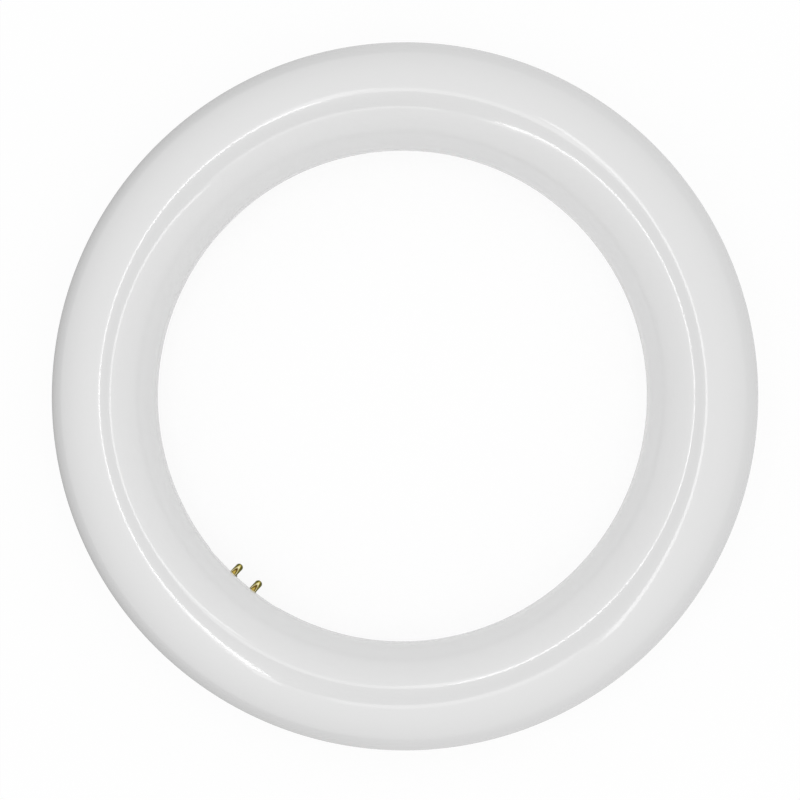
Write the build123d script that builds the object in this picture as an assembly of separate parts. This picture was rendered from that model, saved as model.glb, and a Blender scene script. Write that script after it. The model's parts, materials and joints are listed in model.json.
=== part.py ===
# Circular LED tube: a closed ring of round tube that lights a ceiling or wall fitting.
# Two moulded half shells meet at the tube's widest line. The rear half carries the boards,
# the driver and a four-pin base whose contacts lean inward and back at 45 degrees.
#
# Frame: millimetres. The origin is the ring's centre, on the middle plane of the tube.
# +Z points to the side that gives light, and the pin base is at -Y.
#
# Places inside the tube are given by a station (distance along the centre line from the
# middle of the base, counterclockwise), an offset (outward from the centre line) and a
# height (z). A section sketch has the offset as its x and the height as its y.

import os
from math import ceil, degrees, pi, radians, sqrt, tan

from build123d import *

# Ring and tube
ring_radius = 89.0
tube_radius = 15.5
base_azimuth = 270.0

# Shells and the lap joint where they meet
diffuser_wall = 1.4
housing_wall = 1.6
tongue_wall = 0.75
tongue_height = 1.6
joint_clearance = 0.1
rim_break = 0.2

# Four-pin base, with the pin pattern that such ring lamps share
pin_lean = 45.0
pin_radius = 1.175
pin_exposed = 7.1
pin_spacing_along = 7.92
pin_spacing_across = 6.35
pin_collar_radius = 1.9
pin_collar_height = 0.6
pin_tip_round = 1.0
pin_held_radius = 1.5
pin_tail_radius = 0.8
pin_tail_length = 2.0
pin_clearance = 0.05
facet_depth = 2.5
facet_length = 26.0
facet_ramp = 6.0
pad_thickness = 2.0
carrier_flange = 1.5
carrier_land = 1.2
carrier_end_reach = 5.0
carrier_corner = 1.0
fit_clearance = 0.15

# Heat stakes that hold the carrier and the driver board
stake_radius = 0.9
stake_head_radius = 1.5
stake_head_height = 0.8
stake_clearance = 0.1

# Light boards
board_count = 4
board_lift = 0.8
board_half_width = 10.4
board_thickness = 1.2
board_gap = 0.8
leds_per_board = 30
led_length = 2.8
led_width = 3.5
led_height = 0.8
led_bevel = 0.15

# Screws and bosses for the light boards
screw_inset = 12.0
screw_offset = 7.4
screw_radius = 1.1
screw_length = 8.0
screw_head_radius = 2.2
screw_head_height = 1.5
screw_slot = 0.6
screw_clearance = 0.05
screw_hole_margin = 0.2
boss_radius = 2.6

# Ledges along both walls, under the edges of the light boards
ledge_count = 24
ledge_thickness = 1.2
ledge_bearing = 1.4
ledge_lip = 1.2
ledge_depth = 7.0

# Driver board and the ribs that it lies on
driver_gap = 4.0
driver_half_width = 8.5
driver_thickness = 1.2
driver_floor_height = 4.4
driver_rib_thickness = 2.4
driver_stake_inset = 2.0
driver_end_inset = 3.0
part_air = 0.3
leg_radius = 0.35
leg_clearance = 0.15
leg_stub = 1.2
sheet_thickness = 0.3
sheet_overhang = 2.0
sheet_side_gap = 0.6

# Driver parts, in two rows
row_offset = 4.2
input_room = 10.0
part_gap = 1.2
part_stand = 0.4
part_round = 0.5
metal_thickness = 0.3
fuse_radius = 1.6
fuse_length = 8.0
fuse_leg_reach = 1.5
varistor_thickness = 3.2
varistor_leg_spacing = 4.0
film_length = 9.0
film_width = 5.4
film_leg_spacing = 5.0
bridge_length = 6.4
bridge_width = 5.6
bridge_height = 2.6
bridge_leg_spacing = 4.0
bridge_strip = 0.5
choke_radius = 3.6
choke_core_radius = 1.4
choke_flange = 1.0
choke_winding_radius = 3.1
bulk_length = 14.0
output_capacitor_length = 9.0
can_crimp = 1.8
can_leg_spacing = 3.0
transformer_length = 11.0
transformer_width = 13.6
transformer_core_height = 5.0
transformer_leg = 1.9
transformer_centre_leg = 3.0
bobbin_wall = 0.7
bobbin_flange_radius = 4.0
bobbin_leg_offset = 2.4
winding_air = 0.4
chip_length = 5.0
chip_width = 4.0
chip_height = 1.5
chip_leg_reach = 1.0
chip_leg_count = 4
diode_length = 4.4
diode_width = 2.6
diode_height = 2.2
diode_tab = 0.8

# Pin leads: each one's offset and height as it runs, and where it lands from the input end
lead_runs = [
    (-3.0, -2.0, 8.0),
    (-6.2, -1.9, 8.0),
    (1.8, -4.4, 3.5),
    (-1.3, -5.6, 3.5),
]
lead_crossing = 2.0
lead_bypass = 8.0
lead_step = 6.0

# Output leads: their offsets, and the run from the driver board up to the light board
output_offsets = (3.4, 6.0)
output_pad_inset = 6.0
output_hole_reach = 5.0
output_end_reach = 10.0
output_loop = 1.6

# Leads and jumper wires
lead_radius = 0.65
lead_rise = 2.2
jumper_radius = 0.5
jumper_reach = 3.5
jumper_offset = 5.0
jumper_rise = 1.4
bend_share = 0.45

# Worked out: the section
inner_radius = tube_radius - housing_wall
tongue_face = inner_radius + tongue_wall
rebate_face = tongue_face + joint_clearance
rebate_height = tongue_height + joint_clearance

# Worked out: the base
facet_distance = tube_radius - facet_depth
pad_distance = facet_distance - pad_thickness
carrier_depth = pad_thickness + carrier_flange
window_half_across = pin_spacing_across / 2 + pin_collar_radius + carrier_land
window_half_along = pin_spacing_along / 2 + pin_collar_radius + carrier_land
flange_half_across = sqrt(inner_radius**2 - pad_distance**2) - 2 * part_air
flange_half_along = window_half_along + carrier_end_reach
stake_along = window_half_along + carrier_end_reach / 2
pad_half_length = facet_length / 2 + facet_ramp
pin_tail_end = carrier_depth + pin_collar_height + pin_tail_length

# Worked out: heights in the section
board_top = board_lift + board_thickness
driver_underside = driver_floor_height - inner_radius
driver_top = driver_underside + driver_thickness
headroom = board_lift - sheet_thickness - part_air - driver_top

# Worked out: the two rows of driver parts, each from the board's input end, with its offset
can_radius = headroom / 2
varistor_radius = (headroom - part_stand) / 2
can_leg_reach = 2 * leg_radius
inner_row = -row_offset
outer_row = row_offset
varistor_place = (input_room + varistor_radius, inner_row)
film_place = (varistor_place[0] + varistor_radius + part_gap + film_length / 2, inner_row)
bulk_start = film_place[0] + film_length / 2 + part_gap + 2 * can_leg_reach
bulk_place = (bulk_start + bulk_length / 2, inner_row)
fuse_reach = fuse_length / 2 + fuse_leg_reach
fuse_place = (input_room + fuse_reach, outer_row)
bridge_place = (fuse_place[0] + fuse_reach + part_gap + bridge_length / 2, outer_row)
choke_place = (bridge_place[0] + bridge_length / 2 + part_gap + choke_radius, outer_row)
chip_place = (choke_place[0] + choke_radius + part_gap + chip_length / 2, outer_row)
transformer_start = part_gap + max(bulk_start + bulk_length, chip_place[0] + chip_length / 2)
transformer_place = (transformer_start + transformer_length / 2, 0)
output_start = transformer_start + transformer_length + part_gap
diode_place = (output_start + diode_tab + diode_length / 2, outer_row)
output_capacitor_start = output_start + 2 * can_leg_reach
output_capacitor_place = (output_capacitor_start + output_capacitor_length / 2, inner_row)
output_capacitor_stop = output_capacitor_start + output_capacitor_length
driver_length = output_capacitor_stop + part_gap / 2 + stake_head_radius + driver_end_inset

# Worked out: lengths along the ring
ring_length = 2 * pi * ring_radius
board_length = ring_length / board_count - board_gap
driver_start = pad_half_length + driver_gap
driver_stop = driver_start + driver_length
driver_middle = driver_start + driver_length / 2
output_pad = driver_stop - output_pad_inset
output_hole = driver_stop + output_hole_reach
output_end = driver_stop + output_end_reach
screw_stations = [
    index * ring_length / board_count + side
    for index in range(board_count)
    for side in (screw_inset, ring_length / board_count - screw_inset)
]


def azimuth(station):
    """Angle about the ring's axis of a distance along its centre line."""
    return base_azimuth + degrees(station / ring_radius)


def spot(station, offset=0.0, height=0.0):
    """A place in the tube, with x outward, y along the ring and z up."""
    return Rot(0, 0, azimuth(station)) * Pos(ring_radius + offset, 0, height)


def in_section(sketch):
    """Lay a sketch of the tube's section on a plane through the ring's axis."""
    return Plane.XZ * Pos(ring_radius, 0) * sketch


def full_ring(sketch):
    """Turn a section sketch all the way round the ring."""
    return revolve(in_section(sketch), axis=Axis.Z)


def ring_sector(sketch, middle, length):
    """Turn a section sketch along part of the ring, about a station."""
    angle = degrees(length / ring_radius)
    sector = revolve(in_section(sketch), axis=Axis.Z, revolution_arc=angle)
    return Rot(0, 0, azimuth(middle) - angle / 2) * sector


def block(low_x, high_x, low_y, high_y):
    """A rectangle given by its sides."""
    middle = Pos((low_x + high_x) / 2, (low_y + high_y) / 2)
    return middle * Rectangle(high_x - low_x, high_y - low_y)


def standing(radius, low, high):
    """A cylinder along the local z, from one height to another."""
    return Pos(0, 0, low) * Cylinder(radius, high - low, align=(Align.CENTER, Align.CENTER, Align.MIN))


def standing_box(x_size, y_size, low, high):
    """A box about the local z, from one height to another."""
    middle = Pos(0, 0, low)
    return middle * Box(x_size, y_size, high - low, align=(Align.CENTER, Align.CENTER, Align.MIN))


def lying(radius, length, height):
    """A cylinder along the local y, centred at a height."""
    return Pos(0, 0, height) * Rot(90, 0, 0) * Cylinder(radius, length)


# Base frame: x across the two pin rows (toward the front), y along the ring, z out of the facet
base_frame = spot(0) * Rot(0, -(90 + pin_lean), 0) * Pos(0, 0, facet_distance)
pin_places = [
    (across * pin_spacing_across / 2, along * pin_spacing_along / 2)
    for across in (1, -1)
    for along in (-1, 1)
]


def stake(place, top):
    """A peg from z = 0 through a board, with the head that heat forms on its far side."""
    peg = standing(stake_radius, -stake_clearance, top)
    head = standing(stake_head_radius, top, top + stake_head_height)
    head = chamfer(head.edges().group_by(Axis.Z)[-1], stake_head_height / 3)
    return place * (peg + head)


# Shells


def front_diffuser():
    """Milky front half, with a rebate inside its rim for the tongue of the rear half."""
    shell = Circle(tube_radius) - Circle(tube_radius - diffuser_wall)
    shell -= block(-tube_radius, tube_radius, -tube_radius, 0)
    shell -= block(-rebate_face, rebate_face, 0, rebate_height)
    return full_ring(shell)


def housing_section():
    """Rear half of the section, with a tongue that rises from each side of its rim."""
    shell = Circle(tube_radius) - Circle(inner_radius)
    shell -= block(-tube_radius, tube_radius, 0, tube_radius)
    for side in (-1, 1):
        corners = [
            (side * inner_radius, -tongue_height / 2),
            (side * tongue_face, -tongue_height / 2),
            (side * tongue_face, tongue_height - rim_break),
            (side * (tongue_face - rim_break), tongue_height),
            (side * inner_radius, tongue_height),
        ]
        shell += make_face(Polyline(*corners, close=True))
    return shell


def board_ledges():
    """Bracket ribs under both edges of the light boards, left out where the base is."""
    reach = board_half_width - ledge_bearing
    inside_wall = Circle(inner_radius + tongue_wall / 2)
    ledges = []
    for side in (-1, 1):
        corners = [
            (side * reach, board_lift),
            (side * tube_radius, board_lift),
            (side * tube_radius, -ledge_depth),
            (side * sqrt(inner_radius**2 - ledge_depth**2), -ledge_depth),
            (side * reach, board_lift - ledge_lip),
        ]
        bracket = make_face(Polyline(*corners, close=True)) & inside_wall
        for index in range(ledge_count):
            station = (index + 0.5) * ring_length / ledge_count
            from_base = min(station, ring_length - station)
            if side > 0 or from_base > pad_half_length:
                ledges.append(ring_sector(bracket, station, ledge_thickness))
    return ledges


def screw_bosses():
    """Round posts that carry the light boards' screws, rooted in the housing's wall."""
    wall_middle = inner_radius + housing_wall / 2
    root = -sqrt(wall_middle**2 - (screw_offset + boss_radius) ** 2)
    foot = -sqrt(wall_middle**2 - screw_offset**2)
    bosses = []
    for station in screw_stations:
        post = standing(boss_radius, foot, board_lift)
        fin = standing_box(ledge_thickness, 4 * boss_radius, foot, (root + board_lift) / 2)
        tube = Rot(90, 0, 0) * Pos(-screw_offset, 0) * Cylinder(wall_middle, 6 * boss_radius)
        bosses.append(spot(station, screw_offset) * ((post + fin) & tube))
    return bosses


def screw_pilots():
    """Blind holes down the bosses, a little deeper than the screws reach."""
    low = board_top - screw_length - joint_clearance
    return [
        spot(station, screw_offset) * standing(screw_radius + screw_clearance, low, board_top)
        for station in screw_stations
    ]


def driver_ribs():
    """Cross ribs, each the lower segment of the tube's bore, that the driver board lies on."""
    wall_middle = inner_radius + housing_wall / 2
    segment = Circle(wall_middle) - block(-tube_radius, tube_radius, driver_underside, tube_radius)
    stations = (
        driver_start + driver_end_inset,
        driver_start + chip_place[0],
        driver_stop - driver_end_inset,
    )
    return [ring_sector(segment, station, driver_rib_thickness) for station in stations]


def driver_stake_places():
    """Where the four stakes pass through the driver board."""
    offset = driver_half_width - driver_stake_inset
    return [
        (station, side * offset)
        for station in (driver_start + driver_end_inset, driver_stop - driver_end_inset)
        for side in (-1, 1)
    ]


def base_pad():
    """Solid wall behind the facet, filling the tube from the pad's inner face outward."""
    lower_half = Circle(tube_radius) - block(-tube_radius, tube_radius, 0, tube_radius)
    tube = ring_sector(lower_half, 0, 2 * pad_half_length)
    outward = base_frame * standing_box(
        4 * tube_radius, 4 * pad_half_length, -pad_thickness, 2 * tube_radius
    )
    return tube & outward


def facet_recess():
    """The flat that the base sits in, with ends that ramp up to the round tube."""
    half = facet_length / 2
    rise = 2 * facet_ramp
    corners = [(-half, 0), (half, 0), (half + rise, rise), (-half - rise, rise)]
    profile = Plane.YZ * make_face(Polyline(*corners, close=True))
    return base_frame * extrude(profile, 2 * tube_radius, both=True)


def base_window(clearance, low, high):
    """The opening of the pad, or what fills it with a clearance all round."""
    outline = Rectangle(
        2 * (window_half_across - clearance), 2 * (window_half_along - clearance)
    )
    outline = fillet(outline.vertices(), carrier_corner)
    return base_frame * Pos(0, 0, low) * extrude(outline, high - low)


def rear_housing():
    """Rear half shell with its ledges, bosses, ribs, stakes and the seat of the base."""
    body = full_ring(housing_section())
    body += board_ledges()
    body += screw_bosses()
    body += driver_ribs()
    body += base_pad()
    body -= facet_recess()
    body -= base_window(0, -2 * pad_thickness, pad_thickness)
    body -= screw_pilots()
    carrier_stakes = [
        stake(base_frame * Pos(0, side * stake_along, -pad_thickness) * Rot(180, 0, 0), carrier_flange)
        for side in (-1, 1)
    ]
    driver_stakes = [
        stake(spot(station, offset, driver_underside), driver_thickness)
        for station, offset in driver_stake_places()
    ]
    return body + carrier_stakes + driver_stakes


# Base


def pin_carrier():
    """Moulded insert: a block flush with the facet, and a flange seated behind the pad."""
    flange = Rectangle(2 * flange_half_across, 2 * flange_half_along)
    flange = fillet(flange.vertices(), carrier_corner)
    body = base_frame * Pos(0, 0, -carrier_depth) * extrude(flange, carrier_flange)
    body += base_window(fit_clearance, -carrier_depth, 0)
    for across, along in pin_places:
        hole = standing(pin_held_radius + pin_clearance, -2 * carrier_depth, carrier_depth)
        body -= base_frame * Pos(across, along) * hole
    for side in (-1, 1):
        hole = standing(stake_radius + stake_clearance, -2 * carrier_depth, 0)
        body -= base_frame * Pos(0, side * stake_along) * hole
    return body


def contact_pin(across, along):
    """Turned contact: rounded shank, a thicker held stretch, a collar behind it, a solder tail."""
    back = -carrier_depth
    collar_back = back - pin_collar_height
    shank = standing(pin_radius, 0, pin_exposed)
    shank = fillet(shank.edges().group_by(Axis.Z)[-1], pin_tip_round)
    held = standing(pin_held_radius, back, 0)
    collar = standing(pin_collar_radius, collar_back, back)
    tail = standing(pin_tail_radius, -pin_tail_end, collar_back)
    return base_frame * Pos(across, along) * (shank + held + collar + tail)


# Light boards


def board_middle(index):
    """Station of the middle of one light board."""
    return (index + 0.5) * ring_length / board_count


def output_holes():
    """Where the two output leads pass up through the first light board."""
    return [spot(output_hole, offset) for offset in output_offsets]


def led_board(index):
    """Metal-core board, one arc of the ring, drilled for its screws and lead holes."""
    outline = block(-board_half_width, board_half_width, board_lift, board_top)
    board = ring_sector(outline, board_middle(index), board_length)
    drill = standing(screw_radius + screw_hole_margin, 0, 2 * board_top)
    for station in screw_stations[2 * index:2 * index + 2]:
        board -= spot(station, screw_offset) * drill
    if index == 0:
        drill = standing(lead_radius + 2 * joint_clearance, 0, 2 * board_top)
        for place in output_holes():
            board -= place * drill
    return board


def led_packages(index):
    """The lamps of one board, one row along the centre line."""
    pitch = board_length / leds_per_board
    first = board_middle(index) - board_length / 2 + pitch / 2
    package = standing_box(led_width, led_length, 0, led_height)
    package = chamfer(package.edges().group_by(Axis.Z)[-1], led_bevel)
    return Compound(children=[
        spot(first + number * pitch, 0, board_top) * package
        for number in range(leds_per_board)
    ])


def board_screws():
    """Self-tapping screws through the light boards into the bosses."""
    shank = standing(screw_radius, board_top - screw_length, board_top)
    head = standing(screw_head_radius, board_top, board_top + screw_head_height)
    head = fillet(head.edges().group_by(Axis.Z)[-1], screw_head_height / 2)
    screw = shank + head
    slot_floor = board_top + screw_head_height / 2
    slot_top = board_top + 2 * screw_head_height
    for long_side, short_side in ((2 * screw_radius, screw_slot), (screw_slot, 2 * screw_radius)):
        screw -= standing_box(long_side, short_side, slot_floor, slot_top)
    return Compound(children=[spot(station, screw_offset) * screw for station in screw_stations])


# Leads


def bend_radii(points):
    """The largest arcs that the runs on both sides of each corner leave room for."""
    radii = []
    for before, corner, after in zip(points, points[1:], points[2:]):
        arriving = corner - before
        leaving = after - corner
        turn = radians(arriving.get_angle(leaving))
        run = min(arriving.length, leaving.length)
        radii.append(bend_share * run / tan(turn / 2))
    return radii


def wire(points, radius):
    """A round wire along straight runs joined by arcs."""
    path = FilletPolyline(*points, radius=bend_radii(points))
    start = Plane(origin=path @ 0, z_dir=path % 0)
    return sweep(start * Circle(radius), path=path)


def at(station, offset, height):
    """A point in the tube."""
    return spot(station, offset, height).position


def pin_lead(index):
    """Lead from a pin's tail to the input end of the driver board."""
    across, along = pin_places[index]
    offset, height, landing = lead_runs[index]
    tail = (base_frame * Pos(across, along, -pin_tail_end)).position
    bend = (base_frame * Pos(across, along, -pin_tail_end - lead_rise)).position
    points = [tail, bend]
    if along < 0:
        points.append(at(lead_crossing, offset, height))
    last = driver_start + landing
    first = pin_spacing_along / 2 + lead_bypass
    count = ceil((last - first) / lead_step)
    for number in range(count):
        points.append(at(first + (last - first) * number / count, offset, height))
    points.append(at(last, offset, height))
    points.append(at(last, offset, driver_top))
    return wire(points, lead_radius)


def output_lead(offset):
    """Lead from the driver board up through the light board, and down onto its pad."""
    crest = board_top + output_loop
    points = [
        at(output_pad, offset, driver_top),
        at(output_pad, offset, driver_top + headroom / 2),
        at(output_hole, offset, -headroom / 4),
        at(output_hole, offset, crest),
        at(output_end, offset, crest),
        at(output_end, offset, board_top),
    ]
    return wire(points, lead_radius)


def jumper_wire(junction, side):
    """Bare staple that joins two light boards across their gap."""
    middle = junction * ring_length / board_count
    offset = side * jumper_offset
    crest = board_top + jumper_rise
    points = [
        at(middle - jumper_reach, offset, board_top),
        at(middle - jumper_reach, offset, crest),
        at(middle + jumper_reach, offset, crest),
        at(middle + jumper_reach, offset, board_top),
    ]
    return wire(points, jumper_radius)


# Driver


def driver_spot(place):
    """A place on top of the driver board, from a part's entry in the list."""
    along, offset = place
    return spot(driver_start + along, offset, driver_top)


def leg(x, y, top):
    """A wire leg that passes down through the driver board."""
    return Pos(x, y) * standing(leg_radius, -driver_thickness - leg_stub, top)


def leg_places():
    """Every hole of the driver board: the part it belongs to, and the place beside it."""
    bridge_reach = bridge_width / 2 + 2 * leg_radius
    flange_y = transformer_length / 2 - transformer_leg - bobbin_wall / 2
    holes = [(fuse_place, 0, side * fuse_reach) for side in (-1, 1)]
    holes += [(varistor_place, 0, side * varistor_leg_spacing / 2) for side in (-1, 1)]
    holes += [(film_place, 0, side * film_leg_spacing / 2) for side in (-1, 1)]
    for row in (-1, 1):
        for side in (-1, 1):
            holes.append((bridge_place, row * bridge_reach, side * bridge_leg_spacing / 2))
            holes.append((transformer_place, row * bobbin_leg_offset, side * flange_y))
    holes += [(choke_place, side * choke_core_radius, 0) for side in (-1, 1)]
    for place, length in (
        (bulk_place, bulk_length),
        (output_capacitor_place, output_capacitor_length),
    ):
        leg_y = -length / 2 - can_leg_reach
        holes += [(place, side * can_leg_spacing / 2, leg_y) for side in (-1, 1)]
    return holes


def driver_board():
    """Arc of board on the cross ribs, with stake holes and a hole for every leg."""
    outline = block(-driver_half_width, driver_half_width, driver_underside, driver_top)
    board = ring_sector(outline, driver_middle, driver_length)
    stake_hole = standing(stake_radius + stake_clearance, driver_underside - 1, driver_top + 1)
    for station, offset in driver_stake_places():
        board -= spot(station, offset) * stake_hole
    leg_hole = standing(leg_radius + leg_clearance, -2 * driver_thickness, driver_thickness)
    for place, x, y in leg_places():
        board -= driver_spot(place) * Pos(x, y) * leg_hole
    return board


def insulating_sheet():
    """Film under the light board, over the whole driver."""
    half_width = board_half_width - ledge_bearing - sheet_side_gap
    outline = block(-half_width, half_width, board_lift - sheet_thickness, board_lift)
    return ring_sector(outline, driver_middle, driver_length + 2 * sheet_overhang)


def own_legs(place, top):
    """The legs of one part, from the board's holes up to a height."""
    return [leg(x, y, top) for owner, x, y in leg_places() if owner == place]


def fuse_resistor():
    """Fusible resistor lying along the board, its wires bent down at both ends."""
    height = fuse_radius + part_stand
    body = lying(fuse_radius, fuse_length, height)
    body = fillet(body.edges(), part_round)
    body += lying(leg_radius, 2 * fuse_reach, height)
    body += own_legs(fuse_place, height)
    return driver_spot(fuse_place) * body


def varistor():
    """Surge absorber: a coated disc that stands on its two legs."""
    disc = Rot(0, 90, 0) * Cylinder(varistor_radius, varistor_thickness)
    disc = fillet(disc.edges(), varistor_thickness / 3)
    body = Pos(0, 0, varistor_radius + part_stand) * disc
    body += own_legs(varistor_place, varistor_radius)
    return driver_spot(varistor_place) * body


def film_capacitor():
    """Boxed film capacitor with rounded edges."""
    body = standing_box(film_width, film_length, 0, headroom - part_round)
    body = fillet(body.edges().filter_by(Axis.Z), part_round)
    body = fillet(body.edges().group_by(Axis.Z)[-1], part_round)
    body += own_legs(film_place, part_round)
    return driver_spot(film_place) * body


def bridge_rectifier():
    """Moulded four-diode block with two legs on each side."""
    body = Pos(0, 0, part_stand) * standing_box(bridge_width, bridge_length, 0, bridge_height)
    body = chamfer(body.edges().group_by(Axis.Z)[-1], part_round)
    height = part_stand + bridge_height / 2
    for place, x, y in leg_places():
        if place == bridge_place:
            body += Pos(x / 2, y, height) * Box(abs(x), bridge_strip, metal_thickness)
            body += leg(x, y, height + metal_thickness)
    return driver_spot(bridge_place) * body


def choke_core():
    """Ferrite drum: two flanges on a waist, standing on its legs."""
    low = part_stand
    high = headroom - part_round
    body = standing(choke_core_radius, low, high)
    body += standing(choke_radius, low, low + choke_flange)
    body += standing(choke_radius, high - choke_flange, high)
    body += own_legs(choke_place, low + choke_flange / 2)
    return driver_spot(choke_place) * body


def choke_winding():
    """The wire wound on the drum's waist."""
    low = part_stand + choke_flange
    high = headroom - part_round - choke_flange
    coil = standing(choke_winding_radius, low, high) - standing(choke_core_radius, low, high)
    return driver_spot(choke_place) * coil


def electrolytic_capacitor(place, length):
    """Can lying along the board: crimped near its legs, which bend down to their holes."""
    can = Rot(90, 0, 0) * Cylinder(can_radius, length)
    groove = Rot(90, 0, 0) * Torus(can_radius + part_round / 2, part_round)
    can = fillet(can.edges(), part_round)
    body = Pos(0, 0, can_radius) * (can - Pos(0, -length / 2 + can_crimp) * groove)
    for owner, x, y in leg_places():
        if owner == place:
            reach = -y - length / 2 + leg_radius
            wire_end = Pos(x, -length / 2, can_radius) * Rot(90, 0, 0)
            body += wire_end * standing(leg_radius, -part_round, reach)
            body += leg(x, y, can_radius + leg_radius)
    return driver_spot(place) * body


def bobbin_height():
    """Height of the transformer's winding axis above the driver board."""
    return headroom / 2


def transformer_core():
    """Ferrite pair: an outer frame with a round-cornered leg through the winding."""
    inside_length = transformer_length - 2 * transformer_leg
    inside_width = transformer_width - 2 * transformer_leg
    frame = Box(transformer_width, transformer_length, transformer_core_height)
    frame -= Box(inside_width, inside_length, 2 * transformer_core_height)
    frame += Box(transformer_centre_leg, transformer_length, transformer_centre_leg)
    return driver_spot(transformer_place) * Pos(0, 0, bobbin_height()) * frame


def transformer_bobbin():
    """Square tube on the centre leg, with end flanges that stand on the board."""
    inside = transformer_length - 2 * transformer_leg - 2 * part_air
    bore = transformer_centre_leg + 2 * joint_clearance
    tube_side = bore + 2 * bobbin_wall
    body = Box(tube_side, inside, tube_side)
    for side in (-1, 1):
        flange = Box(2 * bobbin_flange_radius, bobbin_wall, 2 * bobbin_height())
        body += Pos(0, side * (inside - bobbin_wall) / 2) * flange
    body -= Box(bore, 2 * inside, bore)
    body = Pos(0, 0, bobbin_height()) * body
    body += own_legs(transformer_place, bobbin_wall)
    return driver_spot(transformer_place) * body


def transformer_winding():
    """Wire and tape wound on the bobbin between its flanges."""
    inside = transformer_length - 2 * transformer_leg - 2 * part_air - 2 * bobbin_wall
    tube_side = transformer_centre_leg + 2 * joint_clearance + 2 * bobbin_wall
    outline = Rectangle(
        2 * (bobbin_flange_radius - winding_air), 2 * (bobbin_height() - winding_air)
    )
    outline = fillet(outline.vertices(), 2 * part_round) - Rectangle(tube_side, tube_side)
    coil = extrude(Plane.XZ * outline, inside / 2, both=True)
    return driver_spot(transformer_place) * Pos(0, 0, bobbin_height()) * coil


def control_chip():
    """Eight-legged switching controller soldered flat on the board."""
    body = standing_box(chip_width, chip_length, part_round / 4, chip_height)
    body = chamfer(body.edges().group_by(Axis.Z)[-1], part_round / 2)
    pitch = chip_length / chip_leg_count
    width = chip_width + 2 * chip_leg_reach
    for number in range(chip_leg_count):
        y = (number + 0.5) * pitch - chip_length / 2
        foot = Pos(0, y) * standing_box(width, metal_thickness, 0, metal_thickness)
        body += foot
    return driver_spot(chip_place) * body


def output_diode():
    """Surface-mounted diode with a metal tab at each end."""
    body = standing_box(diode_width, diode_length, part_round / 4, diode_height)
    body = chamfer(body.edges().group_by(Axis.Z)[-1], part_round / 2)
    tabs = standing_box(diode_width / 2, diode_length + 2 * diode_tab, 0, metal_thickness)
    return driver_spot(diode_place) * (body + tabs)


def write(name, shape):
    """Save one node under its own name."""
    export_step(shape, os.path.join("parts", name + ".step"))


def main():
    os.makedirs("parts", exist_ok=True)
    write("front_diffuser", front_diffuser())
    write("rear_housing", rear_housing())
    write("pin_carrier", pin_carrier())
    for index, (across, along) in enumerate(pin_places):
        write(f"contact_pin_{index + 1}", contact_pin(across, along))
        write(f"pin_lead_{index + 1}", pin_lead(index))
    for index in range(board_count):
        write(f"led_board_{index + 1}", led_board(index))
        write(f"led_packages_{index + 1}", led_packages(index))
    write("board_screws", board_screws())
    for junction in range(1, board_count):
        write(f"jumper_wire_{junction}_inner", jumper_wire(junction, -1))
        write(f"jumper_wire_{junction}_outer", jumper_wire(junction, 1))
    write("driver_board", driver_board())
    write("insulating_sheet", insulating_sheet())
    write("fuse_resistor", fuse_resistor())
    write("varistor", varistor())
    write("film_capacitor", film_capacitor())
    write("bridge_rectifier", bridge_rectifier())
    write("choke_core", choke_core())
    write("choke_winding", choke_winding())
    write("bulk_capacitor", electrolytic_capacitor(bulk_place, bulk_length))
    write("transformer_core", transformer_core())
    write("transformer_bobbin", transformer_bobbin())
    write("transformer_winding", transformer_winding())
    write("control_chip", control_chip())
    write("output_diode", output_diode())
    write(
        "output_capacitor",
        electrolytic_capacitor(output_capacitor_place, output_capacitor_length),
    )
    write("output_lead_negative", output_lead(output_offsets[0]))
    write("output_lead_positive", output_lead(output_offsets[1]))


main()
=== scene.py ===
# Looks of a circular LED tube: a milky ring lamp with a four-pin base.
# Lengths are in metres, in the lamp's own frame: the ring's centre is the origin, +Z is the side
# that gives light, and the pin base is at -Y.

import json
import math

import bmesh
import bpy
from mathutils import Matrix, Vector


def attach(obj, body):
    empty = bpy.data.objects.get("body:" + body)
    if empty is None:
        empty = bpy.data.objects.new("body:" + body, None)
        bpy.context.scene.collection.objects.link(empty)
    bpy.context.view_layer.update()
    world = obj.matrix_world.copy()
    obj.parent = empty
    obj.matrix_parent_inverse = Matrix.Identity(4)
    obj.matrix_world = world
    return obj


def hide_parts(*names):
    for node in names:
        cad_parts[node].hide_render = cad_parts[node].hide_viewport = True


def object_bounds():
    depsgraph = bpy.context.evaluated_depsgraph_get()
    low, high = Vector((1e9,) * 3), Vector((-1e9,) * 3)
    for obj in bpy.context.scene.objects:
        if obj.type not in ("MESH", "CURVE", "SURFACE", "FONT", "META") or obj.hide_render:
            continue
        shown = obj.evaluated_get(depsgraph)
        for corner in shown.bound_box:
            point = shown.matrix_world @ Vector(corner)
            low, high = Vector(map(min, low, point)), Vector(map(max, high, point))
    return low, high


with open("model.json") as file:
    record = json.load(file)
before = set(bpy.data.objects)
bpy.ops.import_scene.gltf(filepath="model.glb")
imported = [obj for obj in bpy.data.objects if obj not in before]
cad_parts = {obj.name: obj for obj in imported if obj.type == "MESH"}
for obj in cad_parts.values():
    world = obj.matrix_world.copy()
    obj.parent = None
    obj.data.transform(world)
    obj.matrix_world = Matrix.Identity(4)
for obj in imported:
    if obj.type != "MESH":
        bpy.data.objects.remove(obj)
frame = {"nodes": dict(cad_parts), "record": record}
cad_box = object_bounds()

MM = 0.001

# The ring and its shells
RING_RADIUS = 89.0 * MM
TUBE_RADIUS = 15.5 * MM
DIFFUSER_WALL = 1.4 * MM
REBATE_FACE = 14.75 * MM
REBATE_HEIGHT = 1.7 * MM
RIM_ROUND = 0.12 * MM

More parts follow.
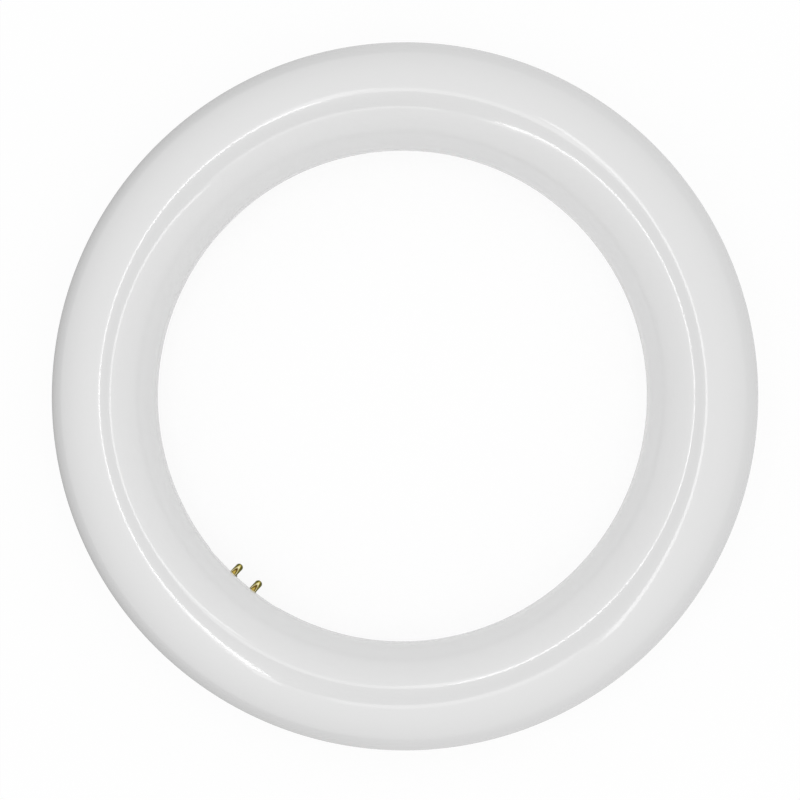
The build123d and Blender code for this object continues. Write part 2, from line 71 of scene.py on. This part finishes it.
# The base and its pins. Heights along a pin are from the flat of the base, outward.
BASE_TURN = math.radians(270.0)
FACET_DISTANCE = 13.0 * MM
PIN_LEAN = math.radians(45.0)
PIN_ALONG = 7.92 * MM
PIN_ACROSS = 6.35 * MM
PIN_EXPOSED = 7.1 * MM
PIN_RADIUS = 1.175 * MM
PIN_TIP_ROUND = 1.0 * MM
PIN_HELD_RADIUS = 1.5 * MM
PIN_HELD_LENGTH = 3.5 * MM
PIN_COLLAR_RADIUS = 1.9 * MM
PIN_COLLAR_HEIGHT = 0.6 * MM
PIN_TAIL_RADIUS = 0.8 * MM
PIN_TAIL_LENGTH = 2.0 * MM
PIN_BREAK = 0.06 * MM

# Fineness of the meshes, and the angle in degrees past which an edge is sharp
RING_STEPS = 288
OUTER_WALL_STEPS = 96
INNER_WALL_STEPS = 48
RING_CREASE = 35
PIN_STEPS = 48
PIN_TIP_STEPS = 20
PIN_BREAK_STEPS = 4
PIN_CREASE = 30

# The camera, above the light side. The photograph has the base at its lower left.
PHOTO_TURN = math.radians(40.1)
CAMERA_PLACE = Vector((24.7, -5.7, 300.0)) * MM
CAMERA_TILT_X = math.radians(0.80)
CAMERA_TILT_Y = math.radians(4.52)
CAMERA_LENS = 45.5
SENSOR_WIDTH = 36.0
CLIP_NEAR = 10.0 * MM
CLIP_FAR = 20.0

# Gloss of plastics, and the mirror skin of polished mouldings
PLASTIC_IOR = 1.5
SKIN_SPECULAR = 0.3
SKIN_WEIGHT = 0.8
SKIN_ROUGHNESS = 0.06

# Noise scales of the finishes: slow drift of colour, and patches of gloss
PLASTIC_DRIFT = 18.0
PLASTIC_PATCHES = 60.0
METAL_DRIFT = 220.0
METAL_PATCHES = 500.0

# Painted reflection on the pins: tones of a bright arc and dark olive bands from the foot of a pin
# to its tip, how far they bow back along the flanks, and how far and how finely they wander
PAINTED_REFLECTION_TONES = (
    (0.00, (0.34, 0.24, 0.05)),
    (0.48, (0.52, 0.38, 0.08)),
    (0.59, (0.09, 0.045, 0.004)),
    (0.66, (0.16, 0.09, 0.008)),
    (0.76, (1.00, 0.94, 0.58)),
    (0.84, (0.70, 0.58, 0.18)),
    (0.93, (0.26, 0.22, 0.04)),
    (1.00, (0.13, 0.12, 0.02)),
)
REFLECTION_BOW = 4200.0
REFLECTION_WANDER = 0.5 * MM
REFLECTION_NOISE_SCALE = 900.0

# Turning marks of the pins
TURNING_SCALE = 1200.0
TURNING_DEPTH = 0.003 * MM

# The ground, as light meets it: pale in the middle, darker round the ring and to the left
FLOOR_SIZE = 8.0
GROUND_MIDDLE = (0.97, 0.97, 0.97)
GROUND_LEFT = (0.25, 0.25, 0.25)
GROUND_RIGHT = (0.66, 0.66, 0.66)
GROUND_INNER = 72.0 * MM
GROUND_OUTER = 110.0 * MM

# How far the ground glows white, to the camera near the lamp and in mirrors. A shadow shows in
# the rest, which fades out between two distances.
SHADOW_WHITE = 0.90
SHADOW_REACH = 120.0 * MM
SHADOW_END = 300.0 * MM
MIRROR_WHITE = 0.30

# The sky's light overhead and at the horizon, and the height at which the first begins
TOP_LIGHT = 0.87
LOW_LEFT_LIGHT = 0.02
LOW_RIGHT_LIGHT = 0.87
LOW_REACH = 0.34

# Lamps in a frame round the camera, and a dark card inside it. Places are in the photograph's
# axes: x to its right, y up it, z toward the camera.
LIGHT_HEIGHT = 290.0 * MM
CARD_HEIGHT = 294.0 * MM
SIDE_MIDDLE = -20.0 * MM
LEFT_EDGE = -52.0 * MM
LEFT_TURN = math.radians(-12.0)
RIGHT_EDGE = 73.0 * MM
RIGHT_TURN = math.radians(15.0)
TOP_EDGE = 62.0 * MM
BOTTOM_EDGE = -115.0 * MM
END_STRIP_WIDTH = 36.0 * MM
END_STRIP_RADIANCE = 1.2

# Lamps beside the camera: name, edge, turn, width, length and radiance
SIDE_STRIPS = (
    ("strip_left", LEFT_EDGE, LEFT_TURN, 8.0 * MM, 170.0 * MM, 9.0),
    ("strip_left_faint", LEFT_EDGE, LEFT_TURN, 16.0 * MM, 250.0 * MM, 2.4),
    ("strip_right", RIGHT_EDGE, RIGHT_TURN, 20.0 * MM, 290.0 * MM, 3.6),
)


# Geometry


def link(name, data):
    """Put a mesh, lamp or camera into the scene under a name."""
    piece = bpy.data.objects.new(name, data)
    bpy.context.scene.collection.objects.link(piece)
    return piece


def arc(radius, start, stop, steps, centre=(0.0, 0.0)):
    """Points of an arc in a section, angles in degrees from the section's first axis."""
    points = []
    for step in range(steps + 1):
        angle = math.radians(start + (stop - start) * step / steps)
        points.append((centre[0] + radius * math.cos(angle), centre[1] + radius * math.sin(angle)))
    return points


def place_mesh(bm, name):
    """Close the making of a mesh and put it into the scene."""
    mesh = bpy.data.meshes.new(name)
    bm.to_mesh(mesh)
    bm.free()
    return link(name, mesh)


def smooth_mesh(bm, crease):
    """Faces turned outward, with smooth shading that breaks at edges sharper than an angle."""
    bmesh.ops.recalc_face_normals(bm, faces=bm.faces)
    for face in bm.faces:
        face.smooth = True
    for edge in bm.edges:
        if len(edge.link_faces) == 2:
            edge.smooth = edge.calc_face_angle() < math.radians(crease)


def turned_ring(name, section, steps, crease):
    """A closed section turned round the ring's axis."""
    bm = bmesh.new()
    rows = []
    for step in range(steps):
        angle = 2 * math.pi * step / steps
        row = []
        for offset, height in section:
            reach = RING_RADIUS + offset
            row.append(bm.verts.new((reach * math.cos(angle), reach * math.sin(angle), height)))
        rows.append(row)
    count = len(section)
    for step in range(steps):
        here = rows[step]
        there = rows[(step + 1) % steps]
        for index in range(count):
            after = (index + 1) % count
            bm.faces.new((here[index], there[index], there[after], here[after]))
    smooth_mesh(bm, crease)
    return place_mesh(bm, name)


def turned_peg(name, profile, place, steps, crease):
    """A profile of (radius, height) points turned about a local z axis, closed at both ends."""
    bm = bmesh.new()
    rows = []
    for radius, height in profile:
        row = []
        for step in range(steps):
            angle = 2 * math.pi * step / steps
            point = Vector((radius * math.cos(angle), radius * math.sin(angle), height))
            row.append(bm.verts.new(place @ point))
        rows.append(row)
    for here, there in zip(rows, rows[1:]):
        for step in range(steps):
            after = (step + 1) % steps
            bm.faces.new((here[step], here[after], there[after], there[step]))
    bm.faces.new(rows[0])
    bm.faces.new(rows[-1])
    smooth_mesh(bm, crease)
    return place_mesh(bm, name)


def flat_sheet(name, corners):
    """One flat face between its corners."""
    bm = bmesh.new()
    bm.faces.new([bm.verts.new(corner) for corner in corners])
    return place_mesh(bm, name)


def base_place(across, along):
    """Local frame of the base: z out of its flat, x toward the light side, y along the ring."""
    to_base = Matrix.Rotation(BASE_TURN, 4, "Z")
    out_to_ring = Matrix.Translation((RING_RADIUS, 0.0, 0.0))
    lean = Matrix.Rotation(-(math.pi / 2 + PIN_LEAN), 4, "Y")
    spot = Matrix.Translation((across, along, FACET_DISTANCE))
    return to_base @ out_to_ring @ lean @ spot


def diffuser_section():
    """Half ring of wall with a rounded rim and the rebate inside it."""
    inner = TUBE_RADIUS - DIFFUSER_WALL
    rise = math.degrees(math.asin(RIM_ROUND / TUBE_RADIUS))
    rebate = math.degrees(math.asin(REBATE_HEIGHT / inner))
    points = [(TUBE_RADIUS - RIM_ROUND, 0.0)]
    points += arc(TUBE_RADIUS, rise, 180 - rise, OUTER_WALL_STEPS)
    points += [(-TUBE_RADIUS + RIM_ROUND, 0.0)]
    points += [(-REBATE_FACE, 0.0), (-REBATE_FACE, REBATE_HEIGHT)]
    points += arc(inner, 180 - rebate, rebate, INNER_WALL_STEPS)
    points += [(REBATE_FACE, REBATE_HEIGHT), (REBATE_FACE, 0.0)]
    return points


def broken_edge(start, radius, height):
    """A quarter round on an edge of a pin, from an angle on, centred at a height inside a wall."""
    centre = (radius - PIN_BREAK, height)
    return arc(PIN_BREAK, start, start + 90, PIN_BREAK_STEPS, centre)


def pin_profile():
    """Solder tail, collar, held stretch and rounded shank, with their edges broken."""
    collar_back = -PIN_HELD_LENGTH - PIN_COLLAR_HEIGHT
    tail_back = collar_back - PIN_TAIL_LENGTH
    points = [(PIN_TAIL_RADIUS - PIN_BREAK, tail_back), (PIN_TAIL_RADIUS, tail_back + PIN_BREAK)]
    points += [(PIN_TAIL_RADIUS, collar_back)]
    points += broken_edge(-90, PIN_COLLAR_RADIUS, collar_back + PIN_BREAK)
    points += broken_edge(0, PIN_COLLAR_RADIUS, -PIN_HELD_LENGTH - PIN_BREAK)
    points += [(PIN_HELD_RADIUS, -PIN_HELD_LENGTH)]
    points += broken_edge(0, PIN_HELD_RADIUS, -PIN_BREAK)
    points += [(PIN_RADIUS, 0.0)]
    dome = (PIN_RADIUS - PIN_TIP_ROUND, PIN_EXPOSED - PIN_TIP_ROUND)
    points += arc(PIN_TIP_ROUND, 0, 90, PIN_TIP_STEPS, dome)
    return points


# Steps of a shader


def feed(tree, socket, value):
    """Link a socket to another node's output, or set it to a number or a colour."""
    if isinstance(value, bpy.types.NodeSocket):
        tree.links.new(value, socket)
    elif isinstance(value, tuple):
        socket.default_value = (*value, 1)
    else:
        socket.default_value = value


def maths(tree, operation, *values):
    """One step of arithmetic."""
    node = tree.nodes.new("ShaderNodeMath")
    node.operation = operation
    for socket, value in zip(node.inputs, values):
        feed(tree, socket, value)
    return node.outputs["Value"]


def span(tree, value, start, stop, low=0.0, high=1.0):
    """Stretch one range of values to another, and stay inside it."""
    node = tree.nodes.new("ShaderNodeMapRange")
    feed(tree, node.inputs["Value"], value)
    feed(tree, node.inputs["From Min"], start)
    feed(tree, node.inputs["From Max"], stop)
    feed(tree, node.inputs["To Min"], low)
    feed(tree, node.inputs["To Max"], high)
    return node.outputs["Result"]


def mix_colours(tree, amount, low, high):
    """Drift from one colour to another."""
    mix = tree.nodes.new("ShaderNodeMix")
    mix.data_type = "RGBA"
    feed(tree, mix.inputs["Factor"], amount)
    feed(tree, mix.inputs["A"], low)
    feed(tree, mix.inputs["B"], high)
    return mix.outputs["Result"]


def mix_shaders(tree, amount, first, second):
    """Drift from one shader to another."""
    mix = tree.nodes.new("ShaderNodeMixShader")
    for socket, value in zip(mix.inputs, (amount, first, second)):
        feed(tree, socket, value)
    return mix.outputs["Shader"]


def turned_coordinates(tree, kind, turn):
    """One kind of texture coordinates, turned by angles about x, y and z."""
    coordinates = tree.nodes.new("ShaderNodeTexCoord")
    mapping = tree.nodes.new("ShaderNodeMapping")
    mapping.inputs["Rotation"].default_value = turn
    tree.links.new(coordinates.outputs[kind], mapping.inputs["Vector"])
    return mapping.outputs["Vector"]


def split_axes(tree, vector):
    """The X, Y and Z of a vector."""
    split = tree.nodes.new("ShaderNodeSeparateXYZ")
    tree.links.new(vector, split.inputs["Vector"])
    return split.outputs


def object_noise(tree, scale, detail):
    """Noise that follows the object's own coordinates."""
    coordinates = tree.nodes.new("ShaderNodeTexCoord")
    noise = tree.nodes.new("ShaderNodeTexNoise")
    noise.inputs["Scale"].default_value = scale
    noise.inputs["Detail"].default_value = detail
    tree.links.new(coordinates.outputs["Object"], noise.inputs["Vector"])
    return noise.outputs["Fac"]


def seen_share(tree, camera_share, mirror_share):
    """A share for rays from the camera, another for mirrored or refracted ones, nought for light."""
    path = tree.nodes.new("ShaderNodeLightPath")
    glossy, clear = path.outputs["Is Glossy Ray"], path.outputs["Is Transmission Ray"]
    mirrored = maths(tree, "MULTIPLY", maths(tree, "MAXIMUM", glossy, clear), mirror_share)
    return maths(tree, "MULTIPLY_ADD", path.outputs["Is Camera Ray"], camera_share, mirrored)


# Materials


def new_material(name):
    """A new material with its tree and its principled shader."""
    material = bpy.data.materials.new(name)
    material.use_nodes = True
    tree = material.node_tree
    shader = tree.nodes["Principled BSDF"]
    return material, tree, shader


def vary_colour(tree, shader, amount, low, high):
    """Let the base colour drift between two close tones with a pattern."""
    tree.links.new(mix_colours(tree, amount, low, high), shader.inputs["Base Color"])


def vary_roughness(tree, shader, amount, low, high):
    """Let the roughness drift with a pattern."""
    tree.links.new(span(tree, amount, 0.0, 1.0, low, high), shader.inputs["Roughness"])


def add_bump(tree, shader, amount, distance, strength):
    """Fine relief on the surface."""
    bump = tree.nodes.new("ShaderNodeBump")
    bump.inputs["Distance"].default_value = distance
    bump.inputs["Strength"].default_value = strength
    tree.links.new(amount, bump.inputs["Height"])
    tree.links.new(bump.outputs["Normal"], shader.inputs["Normal"])


def tones(colour, spread):
    """Two tones a little darker and lighter than a colour."""
    low = tuple(channel * (1 - spread) for channel in colour)
    high = tuple(min(1.0, channel * (1 + spread)) for channel in colour)
    return low, high


def plastic(name, colour, rough_low, rough_high, spread=0.02, relief=0.01 * MM, grain=900.0):
    """Moulded plastic: slow tone drift, a faint orange peel and uneven gloss."""
    material, tree, shader = new_material(name)
    drift = object_noise(tree, PLASTIC_DRIFT, detail=3.0)
    patches = object_noise(tree, PLASTIC_PATCHES, detail=4.0)
    peel = object_noise(tree, grain, detail=2.0)
    vary_colour(tree, shader, drift, *tones(colour, spread))
    vary_roughness(tree, shader, patches, rough_low, rough_high)
    add_bump(tree, shader, peel, relief, strength=0.4)
    shader.inputs["IOR"].default_value = PLASTIC_IOR
    return material


def polished_plastic(name, colour, rough_low, rough_high):
    """Moulded plastic with the mirror skin that a polished mould leaves on it."""
    material = plastic(
        name, colour, rough_low, rough_high, spread=0.01, relief=0.002 * MM, grain=140.0
    )
    shader = material.node_tree.nodes["Principled BSDF"]
    shader.inputs["Specular IOR Level"].default_value = SKIN_SPECULAR
    shader.inputs["Coat Weight"].default_value = SKIN_WEIGHT
    shader.inputs["Coat Roughness"].default_value = SKIN_ROUGHNESS
    shader.inputs["Coat IOR"].default_value = PLASTIC_IOR
    return material


def metal(name, colour, rough_low, rough_high, spread=0.06, relief=0.006 * MM, grain=1400.0):
    """Turned or plated metal with faint wear and tarnish."""
    material, tree, shader = new_material(name)
    shader.inputs["Metallic"].default_value = 1.0
    drift = object_noise(tree, METAL_DRIFT, detail=5.0)
    patches = object_noise(tree, METAL_PATCHES, detail=4.0)
    scratches = object_noise(tree, grain, detail=3.0)
    vary_colour(tree, shader, drift, *tones(colour, spread))
    vary_roughness(tree, shader, patches, rough_low, rough_high)
    add_bump(tree, shader, scratches, relief, strength=0.5)
    return material


def painted_pin_reflection(tree, from_pin):
    """Painted reflection along a pin: tones that bow back along its flanks and wander a little."""
    axes = split_axes(tree, from_pin)
    from_axis = maths(tree, "SUBTRACT", maths(tree, "ABSOLUTE", axes["X"]), PIN_ALONG / 2)
    squared = maths(tree, "MULTIPLY", from_axis, from_axis)
    bowed = maths(tree, "MULTIPLY_ADD", squared, REFLECTION_BOW, axes["Y"])
    noise = object_noise(tree, REFLECTION_NOISE_SCALE, detail=3.0)
    wandering = maths(tree, "MULTIPLY_ADD", noise, REFLECTION_WANDER, bowed)
    foot = FACET_DISTANCE - RING_RADIUS * math.cos(PIN_LEAN) + REFLECTION_WANDER / 2
    ramp = tree.nodes.new("ShaderNodeValToRGB")
    stops = ramp.color_ramp.elements
    for position, _ in PAINTED_REFLECTION_TONES[1:-1]:
        stops.new(position)
    for stop, (_, colour) in zip(stops, PAINTED_REFLECTION_TONES):
        stop.color = (*colour, 1)
    tree.links.new(span(tree, wandering, foot, foot + PIN_EXPOSED), ramp.inputs["Fac"])
    return ramp.outputs["Color"]


def contact_brass(name):
    """Turned brass whose colour holds a painted reflection: a bright arc on the shank, olive bands
    round it.
    """
    material, tree, shader = new_material(name)
    shader.inputs["Metallic"].default_value = 1.0
    from_pin = turned_coordinates(tree, "Object", (PIN_LEAN, 0.0, 0.0))
    # The base colour is a painted reflection: a bright arc with dark olive bands round it.
    tree.links.new(painted_pin_reflection(tree, from_pin), shader.inputs["Base Color"])
    patches = object_noise(tree, METAL_PATCHES, detail=4.0)
    vary_roughness(tree, shader, patches, low=0.08, high=0.16)
    marks = tree.nodes.new("ShaderNodeTexWave")
    marks.bands_direction = "Y"
    marks.inputs["Scale"].default_value = TURNING_SCALE
    marks.inputs["Distortion"].default_value = 1.5
    tree.links.new(from_pin, marks.inputs["Vector"])
    add_bump(tree, shader, marks.outputs["Fac"], TURNING_DEPTH, strength=0.3)
    return material


# Finish of each slot, with the lowest and highest roughness after its colour
MATERIALS = {
    "diffuser_plastic": polished_plastic("milky_diffuser", (0.745, 0.745, 0.745), 0.22, 0.28),
    "housing_plastic": polished_plastic("white_housing", (0.735, 0.735, 0.735), 0.26, 0.32),
    "carrier_plastic": plastic("carrier_plastic", (0.68, 0.68, 0.67), 0.38, 0.48),
    "contact_brass": contact_brass("contact_brass"),
    "board_metal": plastic("board_solder_mask", (0.80, 0.80, 0.80), 0.35, 0.45),
    "led_package": plastic("led_phosphor", (0.80, 0.62, 0.16), 0.30, 0.40, spread=0.08),
    "screw_steel": metal("screw_steel", (0.56, 0.56, 0.58), 0.25, 0.35),
    "board_laminate": plastic("board_laminate", (0.46, 0.27, 0.08), 0.50, 0.65, spread=0.10),
    "film": plastic("insulating_film", (0.74, 0.74, 0.68), 0.30, 0.36),
    "resistor_coat": plastic("resistor_coat", (0.07, 0.15, 0.11), 0.50, 0.65, spread=0.10),
    "varistor_coat": plastic("varistor_coat", (0.01, 0.05, 0.32), 0.20, 0.30, spread=0.08),
    "film_capacitor_box": plastic("capacitor_box", (0.70, 0.48, 0.03), 0.25, 0.35, spread=0.05),
    "moulded_black": plastic("moulded_black", (0.012, 0.012, 0.012), 0.45, 0.60, spread=0.20),
    "ferrite": plastic("ferrite", (0.022, 0.022, 0.024), 0.55, 0.75, spread=0.25),
    "copper_winding": metal("copper_winding", (0.50, 0.16, 0.05), 0.25, 0.35),
    "winding_tape": plastic("winding_tape", (0.72, 0.55, 0.04), 0.25, 0.32, spread=0.05),
    "bobbin_plastic": plastic("bobbin_plastic", (0.014, 0.014, 0.016), 0.40, 0.50, spread=0.2),
    "can_sleeve": plastic("can_sleeve", (0.014, 0.020, 0.034), 0.25, 0.32, spread=0.15),
    "lead_white": plastic("lead_white", (0.76, 0.76, 0.76), 0.40, 0.50),
    "lead_red": plastic("lead_red", (0.45, 0.010, 0.006), 0.40, 0.50, spread=0.06),
    "lead_black": plastic("lead_black", (0.010, 0.010, 0.010), 0.40, 0.50, spread=0.2),
    "tinned_copper": metal("tinned_copper", (0.62, 0.61, 0.58), 0.25, 0.35),
}


# Pieces


def dress(piece, slot):
    """Give a piece the finish of one of the slots."""
    piece.data.materials.clear()
    piece.data.materials.append(MATERIALS[slot])


def dress_frame():
    """Give every solid its finish."""
    for part in frame["record"]["subparts"]:
        dress(frame["nodes"][part["node"]], part["material_slot"])


def place_piece(piece, node, slot):
    """Let a finer piece stand for a solid."""
    dress(piece, slot)
    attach(piece, "root")
    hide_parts(node)


def make_diffuser():
    """The milky half of the tube."""
    diffuser = turned_ring("fine_diffuser", diffuser_section(), RING_STEPS, RING_CREASE)
    place_piece(diffuser, "front_diffuser", "diffuser_plastic")


def make_pins():
    """The four contacts, in the order of their nodes: the front row first."""
    number = 0
    for across in (1, -1):
        for along in (-1, 1):
            number += 1
            place = base_place(across * PIN_ACROSS / 2, along * PIN_ALONG / 2)
            pin = turned_peg(f"fine_pin_{number}", pin_profile(), place, PIN_STEPS, PIN_CREASE)
            place_piece(pin, f"contact_pin_{number}", "contact_brass")


# Stage


def distance_from_middle(tree):
    """How far a place on the ground is from the ring's axis."""
    coordinates = tree.nodes.new("ShaderNodeTexCoord")
    reach = tree.nodes.new("ShaderNodeVectorMath")
    reach.operation = "LENGTH"
    tree.links.new(coordinates.outputs["Object"], reach.inputs[0])
    return reach.outputs["Value"]


def ground_tone(tree):
    """White to the camera. To light it is darker round the ring, most of all to the left."""
    path = tree.nodes.new("ShaderNodeLightPath")
    unseen = maths(tree, "SUBTRACT", 1.0, path.outputs["Is Camera Ray"])
    outward = span(tree, distance_from_middle(tree), GROUND_INNER, GROUND_OUTER)
    in_photo = split_axes(tree, turned_coordinates(tree, "Object", (0.0, 0.0, -PHOTO_TURN)))
    from_left = span(tree, in_photo["X"], -GROUND_OUTER, 0.0)
    outer_tone = mix_colours(tree, from_left, GROUND_LEFT, GROUND_RIGHT)
    return mix_colours(tree, maths(tree, "MULTIPLY", unseen, outward), GROUND_MIDDLE, outer_tone)


def make_floor(height):
    """White ground that keeps a soft shadow near the lamp."""
    half = FLOOR_SIZE / 2
    corners = [(-half, -half, 0.0), (half, -half, 0.0), (half, half, 0.0), (-half, half, 0.0)]
    floor = flat_sheet("floor", corners)
    floor.location.z = height
    material, tree, shader = new_material("white_ground")
    tree.links.new(ground_tone(tree), shader.inputs["Base Color"])
    shader.inputs["Roughness"].default_value = 1.0
    shader.inputs["Specular IOR Level"].default_value = 0.0
    glow = tree.nodes.new("ShaderNodeEmission")
    glow.inputs["Strength"].default_value = 1.0
    reach = distance_from_middle(tree)
    camera_share = span(tree, reach, SHADOW_REACH, SHADOW_END, SHADOW_WHITE, 1.0)
    seen = seen_share(tree, camera_share, MIRROR_WHITE)
    surface = mix_shaders(tree, seen, shader.outputs["BSDF"], glow.outputs["Emission"])
    tree.links.new(surface, tree.nodes["Material Output"].inputs["Surface"])
    floor.data.materials.append(material)


def white_sky(tree, strength):
    """White light from all round."""
    sky = tree.nodes.new("ShaderNodeBackground")
    sky.inputs["Color"].default_value = (1.0, 1.0, 1.0, 1)
    feed(tree, sky.inputs["Strength"], strength)
    return sky.outputs["Background"]


def make_world():
    """Soft studio light, weaker low on the left, and white where the camera looks past the lamp."""
    world = bpy.data.worlds.new("studio")
    world.use_nodes = True
    bpy.context.scene.world = world
    tree = world.node_tree
    tree.nodes.clear()
    in_photo = split_axes(tree, turned_coordinates(tree, "Generated", (0.0, 0.0, -PHOTO_TURN)))
    low_light = span(tree, in_photo["X"], -1.0, 0.0, LOW_LEFT_LIGHT, LOW_RIGHT_LIGHT)
    light = span(tree, in_photo["Z"], 0.0, LOW_REACH, low_light, TOP_LIGHT)
    surface = mix_shaders(
        tree, seen_share(tree, 1.0, 1.0), white_sky(tree, light), white_sky(tree, 1.0)
    )
    output = tree.nodes.new("ShaderNodeOutputWorld")
    tree.links.new(surface, output.inputs["Surface"])


def photo_turn():
    """Turn from the photograph's axes to the lamp's."""
    return Matrix.Rotation(PHOTO_TURN, 4, "Z")


def make_light(name, place, width, length, radiance):
    """A flat lamp that faces down, its middle at a place in the photograph's axes."""
    data = bpy.data.lights.new(name, "AREA")
    data.shape = "RECTANGLE"
    data.size = width
    data.size_y = length
    data.energy = radiance * math.pi * width * length
    lamp = link(name, data)
    lamp.matrix_world = photo_turn() @ place
    lamp.visible_camera = False


def make_side(name, edge, turn, width, length, radiance):
    """A lamp beside the camera, from a slanting edge outward to the left or right."""
    side = math.copysign(1.0, edge)
    corner = Matrix.Translation((edge, SIDE_MIDDLE, LIGHT_HEIGHT))
    outward = Matrix.Translation((side * width / 2, 0.0, 0.0))
    place = corner @ Matrix.Rotation(turn, 4, "Z") @ outward
    make_light(name, place, width, length, radiance)


def make_end(name, edge):
    """A lamp above or below the camera, between the two sides."""
    side = math.copysign(1.0, edge)
    middle = ((LEFT_EDGE + RIGHT_EDGE) / 2, edge + side * END_STRIP_WIDTH / 2, LIGHT_HEIGHT)
    length = RIGHT_EDGE - LEFT_EDGE
    make_light(name, Matrix.Translation(middle), length, END_STRIP_WIDTH, END_STRIP_RADIANCE)


def make_lights():
    """A frame of soft strips round the camera."""
    for strip in SIDE_STRIPS:
        make_side(*strip)
    make_end("strip_top", TOP_EDGE)
    make_end("strip_bottom", BOTTOM_EDGE)


def slanted(edge, turn, y):
    """Where the slanting edge of a side lamp stands at a height of the picture."""
    return edge - math.tan(turn) * (y - SIDE_MIDDLE)


def make_dark_card():
    """The dark place round the camera, inside the frame of strips, which only reflections show."""
    corners = (
        (slanted(LEFT_EDGE, LEFT_TURN, BOTTOM_EDGE), BOTTOM_EDGE, CARD_HEIGHT),
        (slanted(RIGHT_EDGE, RIGHT_TURN, BOTTOM_EDGE), BOTTOM_EDGE, CARD_HEIGHT),
        (slanted(RIGHT_EDGE, RIGHT_TURN, TOP_EDGE), TOP_EDGE, CARD_HEIGHT),
        (slanted(LEFT_EDGE, LEFT_TURN, TOP_EDGE), TOP_EDGE, CARD_HEIGHT),
    )
    card = flat_sheet("dark_card", corners)
    card.matrix_world = photo_turn()
    material, tree, shader = new_material("black_felt")
    shader.inputs["Roughness"].default_value = 1.0
    felt = object_noise(tree, scale=40.0, detail=4.0)
    vary_colour(tree, shader, felt, low=(0.01, 0.01, 0.01), high=(0.03, 0.03, 0.03))
    card.data.materials.append(material)
    card.visible_camera = False
    card.visible_diffuse = False
    card.visible_transmission = False
    card.visible_shadow = False


def make_camera():
    """The photograph's camera, fitted to the two outlines of the ring."""
    data = bpy.data.cameras.new("camera")
    data.lens = CAMERA_LENS
    data.sensor_width = SENSOR_WIDTH
    data.clip_start = CLIP_NEAR
    data.clip_end = CLIP_FAR
    camera = link("camera", data)
    tilt = Matrix.Rotation(CAMERA_TILT_Y, 4, "Y") @ Matrix.Rotation(CAMERA_TILT_X, 4, "X")
    camera.matrix_world = photo_turn() @ Matrix.Translation(CAMERA_PLACE) @ tilt
    bpy.context.scene.camera = camera


make_camera()
make_world()
make_lights()
make_dark_card()
dress_frame()
make_diffuser()
make_pins()
make_floor(cad_box[0].z)

scene = bpy.context.scene
scene.view_settings.view_transform = "Standard"
